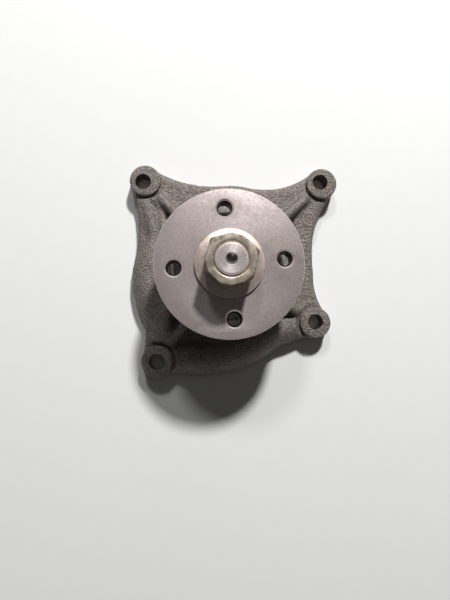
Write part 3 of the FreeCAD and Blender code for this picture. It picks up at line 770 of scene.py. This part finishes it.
def shaft_thread(steel):
    ridge = thread_ridge("shaft_thread", (0.0, 0.0), SHAFT_ROOT_R, False, SHAFT_PITCH,
                         SHAFT_END - 6.4 * MM, 3)
    coat(ridge, steel)


# Stage, light and camera

def stage_floor():
    gap = 0.2 * MM
    bpy.ops.mesh.primitive_plane_add(size=8.0, location=(0.0, 0.0, -gap))
    floor = named("studio_floor")
    floor.data.materials.append(studio_floor_paint())


def softbox(name, place, target, size, power):
    """Round soft light aimed at a target, in metres and watts."""
    light = bpy.data.lights.new(name, "AREA")
    light.shape = "DISK"
    light.size = size
    light.energy = power
    lamp = bpy.data.objects.new(name, light)
    lamp.location = place
    lamp.rotation_euler = (Vector(target) - Vector(place)).to_track_quat("-Z", "Y").to_euler()
    bpy.context.scene.collection.objects.link(lamp)


def studio_light():
    """A window ahead, a weaker one left of it, and a wide faint light overhead."""
    pump = (0.0, 0.0, 20.0 * MM)
    softbox("window_side", (0.3, 1.1, 1.0), pump, size=0.15, power=28.5)
    softbox("window_left", (-0.22, 1.12, 1.0), pump, size=0.22, power=6.0)
    softbox("overhead", (0.1, 0.25, 1.5), (0.0, 0.0, 0.0), size=1.3, power=0.6)
    bpy.context.scene.world = studio_surround()
    bpy.context.scene.view_settings.view_transform = "Standard"


def studio_surround():
    """Dim fill light, with a pale wall for the camera and for reflections near the horizon."""
    fill = 0.028
    wall_levels = {"From Min": 0.1, "From Max": 0.6, "To Min": 0.78, "To Max": 0.03}
    world = bpy.data.worlds.new("studio_surround")
    world.use_nodes = True
    tree = world.node_tree
    background = tree.nodes["Background"]
    background.inputs["Color"].default_value = (1.0, 0.985, 0.97, 1.0)
    direction = tree.nodes.new("ShaderNodeTexCoord")
    split = tree.nodes.new("ShaderNodeSeparateXYZ")
    tree.links.new(direction.outputs["Generated"], split.inputs[0])
    wall = tree.nodes.new("ShaderNodeMapRange")
    tree.links.new(split.outputs["Z"], wall.inputs["Value"])
    for name, value in wall_levels.items():
        wall.inputs[name].default_value = value
    rays = tree.nodes.new("ShaderNodeLightPath")
    seen = rays.outputs["Is Camera Ray"]
    for name in ("Is Glossy Ray", "Is Transmission Ray"):
        either = tree.nodes.new("ShaderNodeMath")
        either.operation = "MAXIMUM"
        tree.links.new(seen, either.inputs[0])
        tree.links.new(rays.outputs[name], either.inputs[1])
        seen = either.outputs["Value"]
    strength = tree.nodes.new("ShaderNodeMapRange")
    tree.links.new(seen, strength.inputs["Value"])
    strength.inputs["To Min"].default_value = fill
    tree.links.new(wall.outputs["Result"], strength.inputs["To Max"])
    tree.links.new(strength.outputs["Result"], background.inputs["Strength"])
    return world


def photo_camera():
    lens = bpy.data.cameras.new("photo_camera")
    lens.lens = 27.0
    lens.sensor_width = 36.0
    lens.clip_start = 10.0 * MM
    camera = bpy.data.objects.new("photo_camera", lens)
    turn = Matrix.Rotation(CAMERA_TURN.length, 4, CAMERA_TURN.normalized())
    camera.matrix_world = Matrix.Translation(CAMERA_PLACE) @ turn
    bpy.context.scene.collection.objects.link(camera)
    bpy.context.scene.camera = camera


# The pump, put together

def dress(nodes, material):
    """Puts one material in every slot of these CAD nodes."""
    for name in nodes:
        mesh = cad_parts[name].data
        if not mesh.materials:
            mesh.materials.append(material)
        for index in range(len(mesh.materials)):
            mesh.materials[index] = material


photo_camera()
stage_floor()
studio_light()

iron = sand_cast_iron()
machined = machined_iron()
hub_steel = satin_hub_steel()
shaft_steel = bright_turned_steel()
# Steel for the hub's eased edges: worn bright, and brighter still as a painted highlight.
edge_wear_and_sheen = ground_steel("steel_edge_wear_and_sheen", (0.62, 0.54, 0.52), (0.8, 0.71, 0.69), 0.3, 0.42, 0.7)
hole_shade_steel = hole_painted_shade_steel()
zinc = zinc_plating()
race_steel = ground_steel("race_steel", (0.52, 0.52, 0.53), (0.66, 0.66, 0.67), 0.16, 0.26)
blued_spring = ground_steel("blued_spring_steel", (0.12, 0.12, 0.14), (0.2, 0.2, 0.22), 0.28, 0.4)
drawn_brass = ground_steel("drawn_brass", (0.62, 0.46, 0.2), (0.76, 0.58, 0.28), 0.24, 0.36)
key_steel = ground_steel("key_steel", (0.38, 0.38, 0.39), (0.5, 0.5, 0.51), 0.3, 0.42)
cage_nylon = moulded("cage_nylon", (0.5, 0.42, 0.25), (0.6, 0.52, 0.34), 0.42, 0.55, 0.02 * MM)
rubber = moulded("seal_rubber", (0.016, 0.016, 0.017), (0.03, 0.03, 0.031), 0.55, 0.72, 0.03 * MM)
ceramic = moulded("seal_ceramic", (0.72, 0.7, 0.66), (0.8, 0.78, 0.74), 0.16, 0.28, 0.005 * MM)
carbon = moulded("seal_carbon", (0.03, 0.03, 0.032), (0.05, 0.05, 0.052), 0.3, 0.45, 0.01 * MM)

dress(["pump_body", "impeller"], iron)
dress(["pulley_hub"], hub_steel)
dress(["shaft"], shaft_steel)
dress(["flange_nut"], zinc)
dress(["hub_key"], key_steel)
dress(["bearing_outer_race", "bearing_inner_race"], race_steel)
dress(["front_bearing_balls", "rear_bearing_balls"], race_steel)
dress(["front_bearing_shield", "rear_bearing_shield", "water_slinger"], key_steel)
dress(["bearing_retaining_ring", "seal_spring"], blued_spring)
dress(["front_bearing_cage", "rear_bearing_cage"], cage_nylon)
dress(["seal_bellows", "seal_seat_cup"], rubber)
dress(["seal_seat_ring"], ceramic)
dress(["seal_carbon_ring"], carbon)
dress(["seal_cup"], drawn_brass)

turned_hub(hub_steel, edge_wear_and_sheen, hole_shade_steel)
hub_threads(hole_shade_steel)
zinc_flange_nut(zinc, zinc_painted_shade())
shaft_thread(shaft_steel)
cast_housing(iron, machined)

drop_selection()
